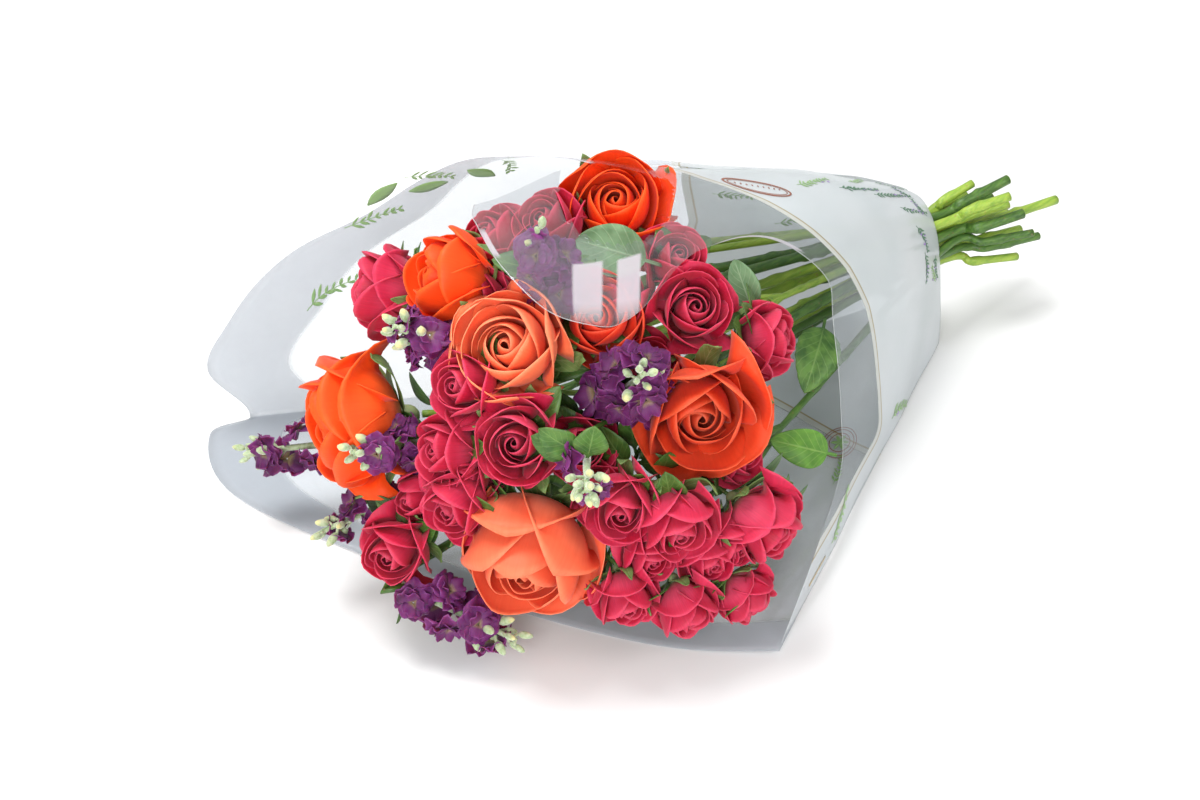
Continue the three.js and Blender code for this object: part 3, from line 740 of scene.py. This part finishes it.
def buildStem(plan):
    name = plan["name"]
    rng = random.Random(name)
    kind = name.split("_")[1]
    radius = stemRadius[kind]
    slot = plan["slot"]
    lean = Vector((cutReach[name], cutFan["shiftY"] + cutFan["y"] * (slot.y - bundle["y"]),
                   cutFan["shiftZ"] + cutFan["z"] * (slot.z - bundle["z"])))
    end = slot + lean
    beyond = mix(slot, end, 0.5) + Vector((0, rng.uniform(-1.5, 1.5), rng.uniform(-1.5, 1.5)))
    curve = bpy.data.curves.new(name, "CURVE")
    if len(plan["carried"]) == 1:
        head = heads[plan["carried"][0]]
        neck = footOf(head, (0.15 if name in closeNecks else 0.5) * head["width"])
        points = [end, beyond, slot, mix(neck, slot, 0.35), neck, footOf(head, -2)]
        addRod(curve, curveThrough(points, 4), radius, rng, True)
    else:
        fork = mix(plan["foot"], slot, 0.35)
        trunkEnd = mix(plan["foot"], slot, 0.3)
        addRod(curve, curveThrough([end, beyond, slot, fork, trunkEnd], 4), radius, rng, True)
        for carried in plan["carried"]:
            head = heads[carried]
            neck = footOf(head, 0.45 * head["width"])
            points = [fork, mix(trunkEnd, neck, 0.4), neck, footOf(head, -2)]
            addRod(curve, curveThrough(points, 4), stemRadius["branch"], rng, False)
    dark = kind == "stock" or name in darkStalks
    finish = "stalkDark" if dark else "stalkLight"
    meshPiece(rodMesh(curve, name + "_curve"), name + "_stalk", finish, (name,))
    cutPlaces.append((end, (end - beyond).normalized(), radius))


plans = planStems()
for plan in plans:
    buildStem(plan)


def buildCutFaces():
    made = newMaterial("cutPith", (0.6, 0.66, 0.35), Roughness=0.7)
    n = Nodes(made)
    ring = n.attribute("along")
    grain = n.noise(n.objectPlace(), 900.0)
    body = n.ramp(ring, (0.0, (0.72, 0.74, 0.5)), (0.6, (0.5, 0.56, 0.26)), (1.0, (0.2, 0.3, 0.07)))
    n.colour(n.blend(n.range(grain, 0.4, 0.7, 0, 0.35), body, (0.35, 0.33, 0.15)))
    n.bump(grain, 0.4)
    bm, layers = newBmesh()
    for end, direction, radius in cutPlaces:
        place = facing(at(*end) + direction * 0.15 * mm, direction, radius * 0.97 * mm)
        disc = bmesh.ops.create_circle(bm, cap_ends=True, cap_tris=True, segments=16, radius=1)["verts"]
        for v in disc:
            v[layers["along"]] = min(v.co.length, 1)
            v.co = place @ Vector((v.co.x, v.co.y, 0.08 * (1 - v.co.length)))
    finishPiece(bm, "stem_cut_faces", made, (), 0.15)


buildCutFaces()
print("stems made:", len(plans))

# leaves with a solid of their own: stalk foot, tip, width, toothed, finish, slot
leaves = {
    "leaf_rose_dark": ((196, -40, 92), (146, -68, 78), 27, True, "leafGreen", "leaf_green"),
    "leaf_rose_bright": ((144, -96, 50), (108, -76, 70), 22, False, "leafBright", "leaf_green"),
    "leaf_pale": ((118, -52, 134), (120, -33, 165), 17, False, "leafGrey", "leaf_grey_green"),
    "leaf_grey_green": ((70, -26, 181), (42, 11, 193), 28, False, "leafGrey", "leaf_grey_green"),
}
shownSide = Vector((-0.565, -0.565, 0.6))  # the dressed side of the bunch


def addLeaf(bm, layers, foot, tip, width, toothed, look, rng, bow=0.12, cells=(8, 26)):
    run = tip - foot
    length = run.length
    x = run.normalized()
    y = look.cross(x).normalized()
    z = x.cross(y)
    stalk = 0.2
    curl, tone = rng.uniform(0.1, 0.3), rng.uniform(0, 1)

    def point(across, along):
        blade = (along - stalk) / (1 - stalk)
        half = 0.9
        if blade > 0:
            tooth = 1 - (0.07 * (1 - abs((blade * 13) % 1 * 2 - 1)) if toothed else 0)
            full = math.sin(math.pi * blade ** 0.85) ** (0.7 if toothed else 0.6)
            half = max(0.9 * (1 - blade), 0.5 * width * full * tooth)
        rise = bow * length * math.sin(math.pi * along) + curl * half * across * across
        return at(*(foot + x * (along * length) + y * (across * half) + z * rise))

    sheetOf(bm, layers, cells, point, 0.5, tone)


for name, (foot, tip, width, toothed, finish, slot) in leaves.items():
    bm, layers = newBmesh()
    addLeaf(bm, layers, Vector(foot), Vector(tip), width, toothed, shownSide, random.Random(name))
    finishPiece(bm, name + "_blade", finish, (name,), 0.5)


foliage = {"count": 190, "reach": (20, 36), "width": (12, 19), "lowest": 6, "wall": 0.4, "seed": 7}


def buildFoliage():
    # small leaves between and under the blooms
    rng = random.Random(foliage["seed"])
    bm, layers = newBmesh()
    names = list(heads)
    for k in range(foliage["count"]):
        head = heads[names[k % len(names)]]
        foot = footOf(head, rng.uniform(-14, 26))
        out = Vector((rng.uniform(-1, 1), rng.uniform(-1, 1), rng.uniform(-0.6, 1)))
        out = (out - head["axis"] * out.dot(head["axis"])).normalized()
        tip = foot + out * rng.uniform(*foliage["reach"]) + head["axis"] * rng.uniform(2, 14)
        if min(tip.z, foot.z) < foliage["lowest"]:
            continue
        width = rng.uniform(*foliage["width"])
        addLeaf(bm, layers, foot, tip, width, True, head["axis"], rng, 0.08, (4, 14))
    finishPiece(bm, "foliage", "leafGreen", (), foliage["wall"])


buildFoliage()
print("leaves made")


def sectionAt(x):
    t = max((sleeve["neckX"] - x) / (sleeve["neckX"] - sleeve["mouthX"]), 0)
    near = sleeve["neckNear"] - sleeve["nearFlare"] * t
    far = sleeve["neckFar"] + sleeve["farFlare"] * t ** sleeve["farCurve"]
    height = sleeve["neckHeight"] + sleeve["heightGain"] * t ** sleeve["heightCurve"]
    return (near + far) / 2, (far - near) / 2, height


def wallPoint(x, degrees, inset=0.3):
    middle, half, height = sectionAt(x)
    a = math.radians(degrees)
    c, s = math.cos(a), math.sin(a)
    y = middle - (half - inset) * math.copysign(abs(c) ** sleeve["width"], c)
    return Vector((x, y, inset + (height - 2 * inset) * abs(s) ** sleeve["roof"]))


def frontSurface(x, degrees, inset=0.3):
    place = wallPoint(x, degrees, inset)
    sunk = smooth((sleeve["droopFrom"] - x) / sleeve["droopRun"])
    s = math.sin(math.radians(degrees))
    place.z -= sleeve["droop"] * sunk * s * s
    crease = noise.noise(Vector((x * 0.02, degrees * 0.045, 1.7)))
    place.z += sleeve["frontCrease"][1] * crease * s
    place.y += sleeve["frontCrease"][0] * crease
    return place


def backSurface(x, around, inset=0.3):
    # around: 0..1 across the floor from the far fold to the near seam as -1..0, then 0..1 up the far wall
    if around <= 0:
        middle, half, _ = sectionAt(x)
        ripple = 0.25 * (1 + noise.noise(Vector((x * 0.02, around * 6, 4.2))))
        lift = smooth((-around - 0.85) / 0.15) * 2.0
        return Vector((x, middle + (half - inset) * (1 + 2 * around), 0.3 + ripple + lift))
    degrees = mix(180, 95, around)
    place = wallPoint(x, degrees, inset)
    crease = noise.noise(Vector((x * 0.022, around * 5, 8.1)))
    place.z += sleeve["backCrease"][1] * crease * smooth(around * 5)
    place.y += sleeve["backCrease"][0] * crease * smooth(around * 5)
    return place


def catmull(rows, u):
    # smooth reading of a list of equal-length rows, u from 0 to 1
    span = u * (len(rows) - 1)
    k = min(int(span), len(rows) - 2)
    t = span - k
    a, b, c, d = (rows[min(max(k + j, 0), len(rows) - 1)] for j in (-1, 0, 1, 2))
    return [0.5 * (2 * q + (r - p) * t + (2 * p - 5 * q + 4 * r - s) * t * t
                   + (3 * q - p - 3 * r + s) * t ** 3)
            for p, q, r, s in zip(a, b, c, d)]


# free edge of the front panel: x, degrees round the wall, degrees at the narrow end
frontEdge = [(-2, 95, 95), (-24, 88, 92), (-41, 79, 88), (-43, 70, 84), (-22, 65, 80), (-4, 64, 78),
             (31, 65, 76), (72, 67, 74), (114, 67, 72), (138, 64, 69), (157, 56, 62), (165, 49, 55),
             (157, 43, 48), (151, 37, 41), (143, 23, 28), (136, 13, 16), (93, 6, 8), (44, 0.6, 0.6)]
# free edge of the back panel: x, and how far round (see backSurface)
backEdge = [(39, -1), (-6, -0.8), (-40, -0.6), (-65, -0.42), (-87, -0.2), (-62, -0.04), (-33, 0), (-52, 0.09),
            (-40, 0.19), (-16, 0.33), (16, 0.47), (36, 0.65), (52, 0.82), (70, 1)]
# the printed part starts here: degrees round the wall, x
printStart = [(0, 206), (9, 206), (22, 201), (31, 200), (39, 199), (51, 189), (65, 169), (77, 150), (88, 128),
              (95, 118)]

cut = {"head": "rose_orange_top", "towards": Vector((-0.56, -0.58, 0.6)), "share": 0.485}


def cutRound(bm, head):
    # the film ends behind a bloom that stands out through it
    hole = facing(at(*head["centre"]), cut["towards"], 1).inverted()
    radius = cut["share"] * head["width"] * mm
    inside = [f for f in bm.faces if (hole @ f.calc_center_median()).xy.length < radius
              and (hole @ f.calc_center_median()).z > 0]
    bmesh.ops.delete(bm, geom=inside, context="FACES")


def filmSheet(name, nodes, cells, point, tint):
    bm = bmesh.new()
    layers = {key: bm.verts.layers.float.new(key) for key in ("printEdge", "rimEdge", "lip", "slide", "fall")}
    for v in bmesh.ops.create_grid(bm, x_segments=cells[0], y_segments=cells[1], size=1)["verts"]:
        place, values = point((v.co.x + 1) / 2, (v.co.y + 1) / 2)
        for key, value in values.items():
            v[layers[key]] = value
        v.co = at(*place)
    if name == "sleeve_front":
        cutRound(bm, heads[cut["head"]])
    finishPiece(bm, name, tint, nodes, sleeve["film"])


# painted reflections: bright sheen bands painted down the loose tongue; each band: slide from and to (mm),
# fall from and to (degrees)
sheen = {
    "bands": ((-24, 0, 62.5, 77), (9, 30, 63, 76.5)),
    "ridge": ((76.5, 78), (86, 84)),
    "slant": 3.317, "level": 70, "lean": 0.113,
}


def frontPoint(u, v):
    x0, degrees0, neck = catmull(frontEdge, u)
    x = mix(x0, sleeve["neckX"], v)
    degrees = max(mix(degrees0, neck, 1 - (1 - v) ** 2), 0.6)
    strip = (sleeve["borderDegrees"] - degrees) * sleeve["borderPerDegree"]
    arch = x - between(printStart, degrees)
    edge, apart, rounding = max(arch, strip), abs(arch - strip), sleeve["borderRound"]
    if apart <= rounding:
        edge += (rounding - apart) ** 2 / (4 * rounding)
    return frontSurface(x, degrees), {"printEdge": edge, "rimEdge": x - x0, "lip": x - x0,
                                      "slide": x - sheen["slant"] * (degrees - sheen["level"]),
                                      "fall": degrees + sheen["lean"] * x}


# round the back panel: where its print starts (x), and how wide its hazy rim is
backPrintStart = [(-1, 206), (0, 206), (0.45, 196), (0.75, 168), (1, 126)]
backRim = [(-1, 26), (-0.5, 20), (0.0, 40), (0.2, 44), (0.5, 30), (0.8, 12), (1, 4)]


def backPoint(u, v):
    x0, around = catmull(backEdge, u)
    x = mix(x0, sleeve["neckX"], v)
    around = min(max(mix(around, (u * 2 - 1), smooth(v * 1.4)), -1), 1)
    edge = x - between(backPrintStart, around)
    rim = between(backRim, around) - (x - x0)
    return backSurface(x, around), {"printEdge": edge, "rimEdge": rim, "lip": x - x0, "slide": 0, "fall": 0}


# colours, then how solid each part is from 0 clear to 1; glare is a painted reflection
filmLook = {
    "paper": ((0.72, 0.77, 0.79), (0.8, 0.83, 0.85)), "goldLine": (0.46, 0.36, 0.16),
    "border": (0.74, 0.75, 0.7), "haze": ((0.62, 0.66, 0.66), (0.78, 0.81, 0.82)),
    "rim": (0.55, 0.585, 0.63), "glare": (0.66, 0.63, 0.68), "clear": (0.935, 0.945, 0.955),
    "gloss": (0.95, 0.97, 1), "printSolid": 0.74, "rimSolid": 0.5, "glareSolid": 0.6, "lipSolid": 0.5,
    "glow": 0.35, "glossShare": 0.16,
}


def filmFinish(name, rimWhite):
    made = newMaterial(name, (0.86, 0.89, 0.9), Roughness=0.16, Specular_IOR_Level=0.5)
    n = Nodes(made)
    edge, rim = n.attribute("printEdge"), n.attribute("rimEdge")
    printed = n.range(edge, -0.5, 0.5)
    place = n.objectPlace()
    cloud = n.noise(place, 16.0, 3.0)
    paper = n.blend(n.range(cloud, 0.3, 0.7), *filmLook["paper"])
    line = n.math("MULTIPLY", n.range(edge, 4.2, 4.8), n.range(edge, 6.2, 5.6))
    paper = n.blend(line, paper, filmLook["goldLine"])
    paper = n.blend(n.range(edge, 4.6, 3.8), paper, filmLook["border"])
    haze = n.blend(n.range(cloud, 0.35, 0.7), *filmLook["haze"])
    white = n.range(rim, -1.0, 2.0)
    haze = n.blend(n.math("MULTIPLY", white, rimWhite), haze, filmLook["rim"])
    slide, fall, lip = n.attribute("slide"), n.attribute("fall"), n.attribute("lip")
    # painted reflection: the glare bands and the glare along the ridge of the lip are painted into the film's
    # colour and opacity
    ridge = n.math("MULTIPLY", *(n.range(fall, *limits) for limits in sheen["ridge"]))
    glare = n.math("MULTIPLY", n.range(lip, 4.5, 3.5), ridge)
    for left, right, low, high in sheen["bands"]:
        inside = n.math("MULTIPLY", n.range(slide, left, left + 2.5), n.range(slide, right, right - 2.5))
        reach = n.math("MULTIPLY", n.range(fall, low, low + 5), n.range(fall, high, high - 0.6))
        glare = n.math("MAXIMUM", glare, n.math("MULTIPLY", inside, reach))
    tint = n.blend(glare, n.blend(printed, haze, paper), filmLook["glare"])
    n.colour(tint)
    ripple = n.noise(place, 38.0, 4.0, 0.55)
    wrinkles = n.bump(ripple, 0.2, 0.0014)
    clear = n.add("ShaderNodeBsdfTransparent")
    clear.inputs["Color"].default_value = (*filmLook["clear"], 1)
    hazy = n.math("MULTIPLY", white, filmLook["rimSolid"] * rimWhite)
    solid = n.math("ADD", n.range(ripple, 0.35, 0.8, 0.02, 0.07), hazy)
    solid = n.math("MAXIMUM", solid, n.math("MULTIPLY", printed, filmLook["printSolid"]))
    solid = n.math("MAXIMUM", solid, n.math("MULTIPLY", glare, filmLook["glareSolid"]))
    solid = n.math("MAXIMUM", solid, n.range(lip, 0.9, 0.4, 0, filmLook["lipSolid"]))
    glow = n.add("ShaderNodeBsdfTranslucent")
    n.link(n.blend(0.5, tint, (1, 1, 1)), glow.inputs["Color"])
    shine = n.add("ShaderNodeBsdfGlossy")
    shine.inputs["Roughness"].default_value = 0.09
    shine.inputs["Color"].default_value = (*filmLook["gloss"], 1)
    n.link(wrinkles, shine.inputs["Normal"])
    fresnel = n.add("ShaderNodeFresnel")
    fresnel.inputs["IOR"].default_value = 1.4
    film = n.mixShader(filmLook["glow"], n.shader.outputs[0], glow.outputs[0])
    mixed = n.mixShader(solid, clear.outputs[0], film)
    gloss = n.math("MULTIPLY", fresnel.outputs[0], filmLook["glossShare"])
    glossy = n.mixShader(gloss, mixed, shine.outputs[0])
    n.link(glossy, n.tree.nodes["Material Output"].inputs["Surface"])
    return made


filmSheet("sleeve_front", ("sleeve_front_panel",), (170, 110), frontPoint, filmFinish("filmFront", 0.0))
filmSheet("sleeve_back", ("sleeve_back_panel",), (130, 60), backPoint, filmFinish("filmBack", 1.0))


class Ornament:
    # flat printed shapes laid on a film surface, drawn in mm round a middle point
    def __init__(self, surface, perUnit):
        self.surface, self.perUnit = surface, perUnit
        self.inks = {}

    def ink(self, name):
        if name not in self.inks:
            self.inks[name] = newBmesh()
        return self.inks[name]

    def lay(self, ink, middle, shape, cells):
        bm, layers = self.ink(ink)

        def point(across, along):
            a, b = shape(across, along)
            return at(*self.surface(middle[0] + a, middle[1] + b / self.perUnit))

        sheetOf(bm, layers, cells, point)

    def leaf(self, ink, middle, turn, length, width):
        def shape(across, along):
            half = 0.5 * width * math.sin(math.pi * min(max(along, 0.02), 0.98)) ** 0.8 * across
            a = along * length
            return a * math.cos(turn) - half * math.sin(turn), a * math.sin(turn) + half * math.cos(turn)

        self.lay(ink, middle, shape, (3, 6))

    def sprig(self, middle, turn, length, leafInk, rng, buds=0):
        # a bent stem with paired leaves
        bend = rng.uniform(-0.5, 0.5)

        def spine(run):
            angle = turn + bend * run
            return run * length * math.cos(angle), run * length * math.sin(angle)

        def stem(across, along):
            a, b = spine(along)
            return a - 0.22 * across * math.sin(turn), b + 0.22 * across * math.cos(turn)

        self.lay(leafInk, middle, stem, (1, 10))
        count = max(4, round(length / 3.6))
        for k in range(count):
            a, b = spine((k + 1) / count)
            for sideways in (-1, 1):
                tilt = turn + bend * (k + 1) / count + sideways * rng.uniform(0.5, 0.95)
                place = (middle[0] + a, middle[1] + b / self.perUnit)
                size = rng.uniform(3.5, 6.5) * (1.1 - 0.5 * k / count)
                self.leaf(leafInk, place, tilt, size, rng.uniform(1.2, 2))
        for _ in range(buds):
            a, b = spine(rng.uniform(0.4, 1.05))
            place = (middle[0] + a + rng.uniform(-3, 3), middle[1] + (b + rng.uniform(-3, 3)) / self.perUnit)
            self.leaf("lilac", place, rng.uniform(0, 6.28), rng.uniform(2, 3.4), 1.8)

    def ring(self, ink, middle, wide, high, thick, tilt):
        def shape(across, along):
            angle = along * math.tau
            a = (wide + across * thick) * math.cos(angle)
            b = (high + across * thick) * math.sin(angle)
            return a * math.cos(tilt) - b * math.sin(tilt), a * math.sin(tilt) + b * math.cos(tilt)

        self.lay(ink, middle, shape, (1, 48))

    def finish(self, name):
        for ink, (bm, _) in self.inks.items():
            finishPiece(bm, name + "_" + ink, inkFinishes[ink], (), 0.06)


inkFinishes = {
    "green": newMaterial("inkGreen", (0.06, 0.17, 0.09), Roughness=0.4),
    "sage": newMaterial("inkSage", (0.25, 0.42, 0.16), Roughness=0.4),
    "lilac": newMaterial("inkLilac", (0.32, 0.2, 0.5), Roughness=0.4),
    "brown": newMaterial("inkBrown", (0.28, 0.09, 0.05), Roughness=0.4),
    "gold": newMaterial("inkGold", (0.5, 0.36, 0.14), Roughness=0.35),
}
# length across the film, mm for one degree of the front wall, and for the whole far wall
frontPrint = Ornament(lambda x, degrees: frontSurface(x, max(degrees, 0.6), -0.1), 2.4)
farPrint = Ornament(lambda x, share: backSurface(x, min(max(share, 0.01), 1), 0.75), 190)
floorPrint = Ornament(lambda x, share: backSurface(x, share, 0.3) + Vector((0, 0, 0.25)), 230)


# front sprigs: x, degrees, direction, length, buds; far wall and floor: x, share, direction, length
sprigs = {
    "front": ((196, 83, 0.1, 34, 2), (232, 80, -0.15, 38, 3), (262, 75, -0.2, 40, 6), (284, 66, -0.5, 34, 7),
              (296, 56, -0.9, 30, 6), (310, 74, 2.6, 26, 4), (318, 62, 2.3, 28, 5), (300, 44, -1.3, 26, 5),
              (320, 40, -1.8, 24, 3), (250, 86, 0.3, 26, 2), (312, 84, 2.9, 30, 3), (318, 28, 2.0, 20, 2),
              (120, 2.5, 0.05, 30, 0), (230, 5, 0.1, 30, 2)),
    "far": ((8, 0.42, 0.6, 26), (-2, 0.2, 0.9, 34), (22, 0.62, 0.3, 24), (60, 0.75, -0.4, 22),
            (110, 0.6, 0.2, 32), (150, 0.4, 0.4, 34), (200, 0.6, 0.0, 34), (250, 0.45, 0.2, 30),
            (170, 0.8, -0.2, 28), (290, 0.7, 0.1, 28), (90, 0.3, 0.7, 30)),
    "floor": ((150, -0.55, 0.2, 34), (170, -0.9, 0.1, 26), (120, -0.75, 0.4, 28)),
}


def printFront():
    rng = random.Random(5)
    for x, degrees, turn, length, buds in sprigs["front"]:
        frontPrint.sprig((x, degrees), turn, length, "green" if buds > 2 else "sage", rng, buds)
    for wide, high, thick in ((22, 8.5, 0.7), (19.5, 6.8, 0.3)):
        frontPrint.ring("brown", (162, 83), wide, high, thick, -0.5)
    for k in range(9):
        frontPrint.leaf("brown", (148 + 3.4 * k, 85.5 - 0.62 * k), 1.1, 2.6, 1.1)
    frontPrint.lay("gold", (84, 2.2), lambda across, along: (along * 26, across * 0.35), (1, 10))
    frontPrint.finish("print_front")


def printFar():
    rng = random.Random(11)
    for x, share, turn, length in sprigs["far"]:
        farPrint.sprig((x, share), turn, length, "sage", rng)
    for x, share, turn in ((30, 0.56, 0.4), (52, 0.66, -0.3), (14, 0.5, 1.2)):
        farPrint.leaf("sage", (x, share), turn, 19, 8.5)
    farPrint.finish("print_far")
    for wide in (15, 12.6, 9):
        floorPrint.ring("brown", (205, -0.82), wide, wide, 0.35, 0)
    for k in range(6):
        floorPrint.leaf("sage", (205, -0.82), k * math.tau / 6, 8, 3)
    for x, share, turn, length in sprigs["floor"]:
        floorPrint.sprig((x, share), turn, length, "sage", rng)
    floorPrint.finish("print_floor")


printFront()
printFar()
print("sleeve made")


tie = {"width": 13, "wall": 2, "inset": 1.1}  # mm; inset is from the band's outside to its middle


def buildBand():
    low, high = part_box("rubber_band")
    centre, radius = (low + high) / 2, (high.z - low.z) / 2
    bm, _ = newBmesh()
    section = bmesh.ops.create_circle(bm, segments=12, radius=1)["verts"]
    for v in section:
        v.co = Vector((v.co.x * tie["width"] / 2 * mm, 0,
                       v.co.y * tie["wall"] / 2 * mm + radius - tie["inset"] * mm)) + centre
    geometry = list(bm.verts) + list(bm.edges)
    bmesh.ops.spin(bm, geom=geometry, cent=centre, axis=(1, 0, 0), angle=math.tau, steps=40, use_merge=True)
    bmesh.ops.recalc_face_normals(bm, faces=bm.faces)
    made = newMaterial("tanRubber", (0.42, 0.24, 0.09), Roughness=0.6)
    n = Nodes(made)
    n.colour(n.blend(n.noise(n.objectPlace(), 300.0), (0.36, 0.2, 0.07), (0.5, 0.3, 0.13)))
    n.bump(n.noise(n.objectPlace(), 900.0), 0.2)
    finishPiece(bm, "tie_band", made, ("rubber_band",))


buildBand()
print("band made")

studio = {
    "floorReach": 6, "floorDrop": 0.0006, "floorColour": (0.8, 0.8, 0.8), "skyStrength": 0.6,
    "target": (20, 0, 80),
    # place from the target, size, watts
    "lamps": {
        "lampOver": (Vector((-0.1, 0.5, 1.5)), 0.8, 24),
        "lampFront": (Vector((-1.3, -0.9, 0.8)), 0.7, 23),
        "lampRight": (Vector((0.6, -1.5, 1.1)), 0.7, 9),
    },
}
view = {"lens": 65, "place": (-634.3, -683.8, 817.3), "target": (24.7, -24.7, 115)}


def buildStudio():
    bm = bmesh.new()
    bmesh.ops.create_grid(bm, x_segments=1, y_segments=1, size=studio["floorReach"])
    mesh = bpy.data.meshes.new("floor")
    bm.to_mesh(mesh)
    bm.free()
    floor = bpy.data.objects.new("floor", mesh)
    floor.location.z = -studio["floorDrop"]
    mesh.materials.append(newMaterial("floorWhite", studio["floorColour"], Roughness=0.8))
    bpy.context.scene.collection.objects.link(floor)
    world = bpy.data.worlds.new("studio")
    world.use_nodes = True
    sky = world.node_tree.nodes["Background"]
    sky.inputs["Color"].default_value = (1, 1, 1, 1)
    sky.inputs["Strength"].default_value = studio["skyStrength"]
    bpy.context.scene.world = world
    target = at(*studio["target"])
    for name, (offset, size, power) in studio["lamps"].items():
        light = bpy.data.lights.new(name, "AREA")
        light.size = size
        light.energy = power
        lamp = bpy.data.objects.new(name, light)
        lamp.location = target + offset
        lamp.rotation_euler = offset.to_track_quat("Z", "Y").to_euler()
        bpy.context.scene.collection.objects.link(lamp)


buildStudio()
print("studio made")

camera = bpy.data.objects.new("camera", bpy.data.cameras.new("camera"))
camera.data.lens = view["lens"]
camera.location = at(*view["place"])
camera.rotation_euler = (camera.location - at(*view["target"])).to_track_quat("Z", "Y").to_euler()
bpy.context.scene.collection.objects.link(camera)
bpy.context.scene.camera = camera
bpy.context.scene.view_settings.view_transform = "Standard"
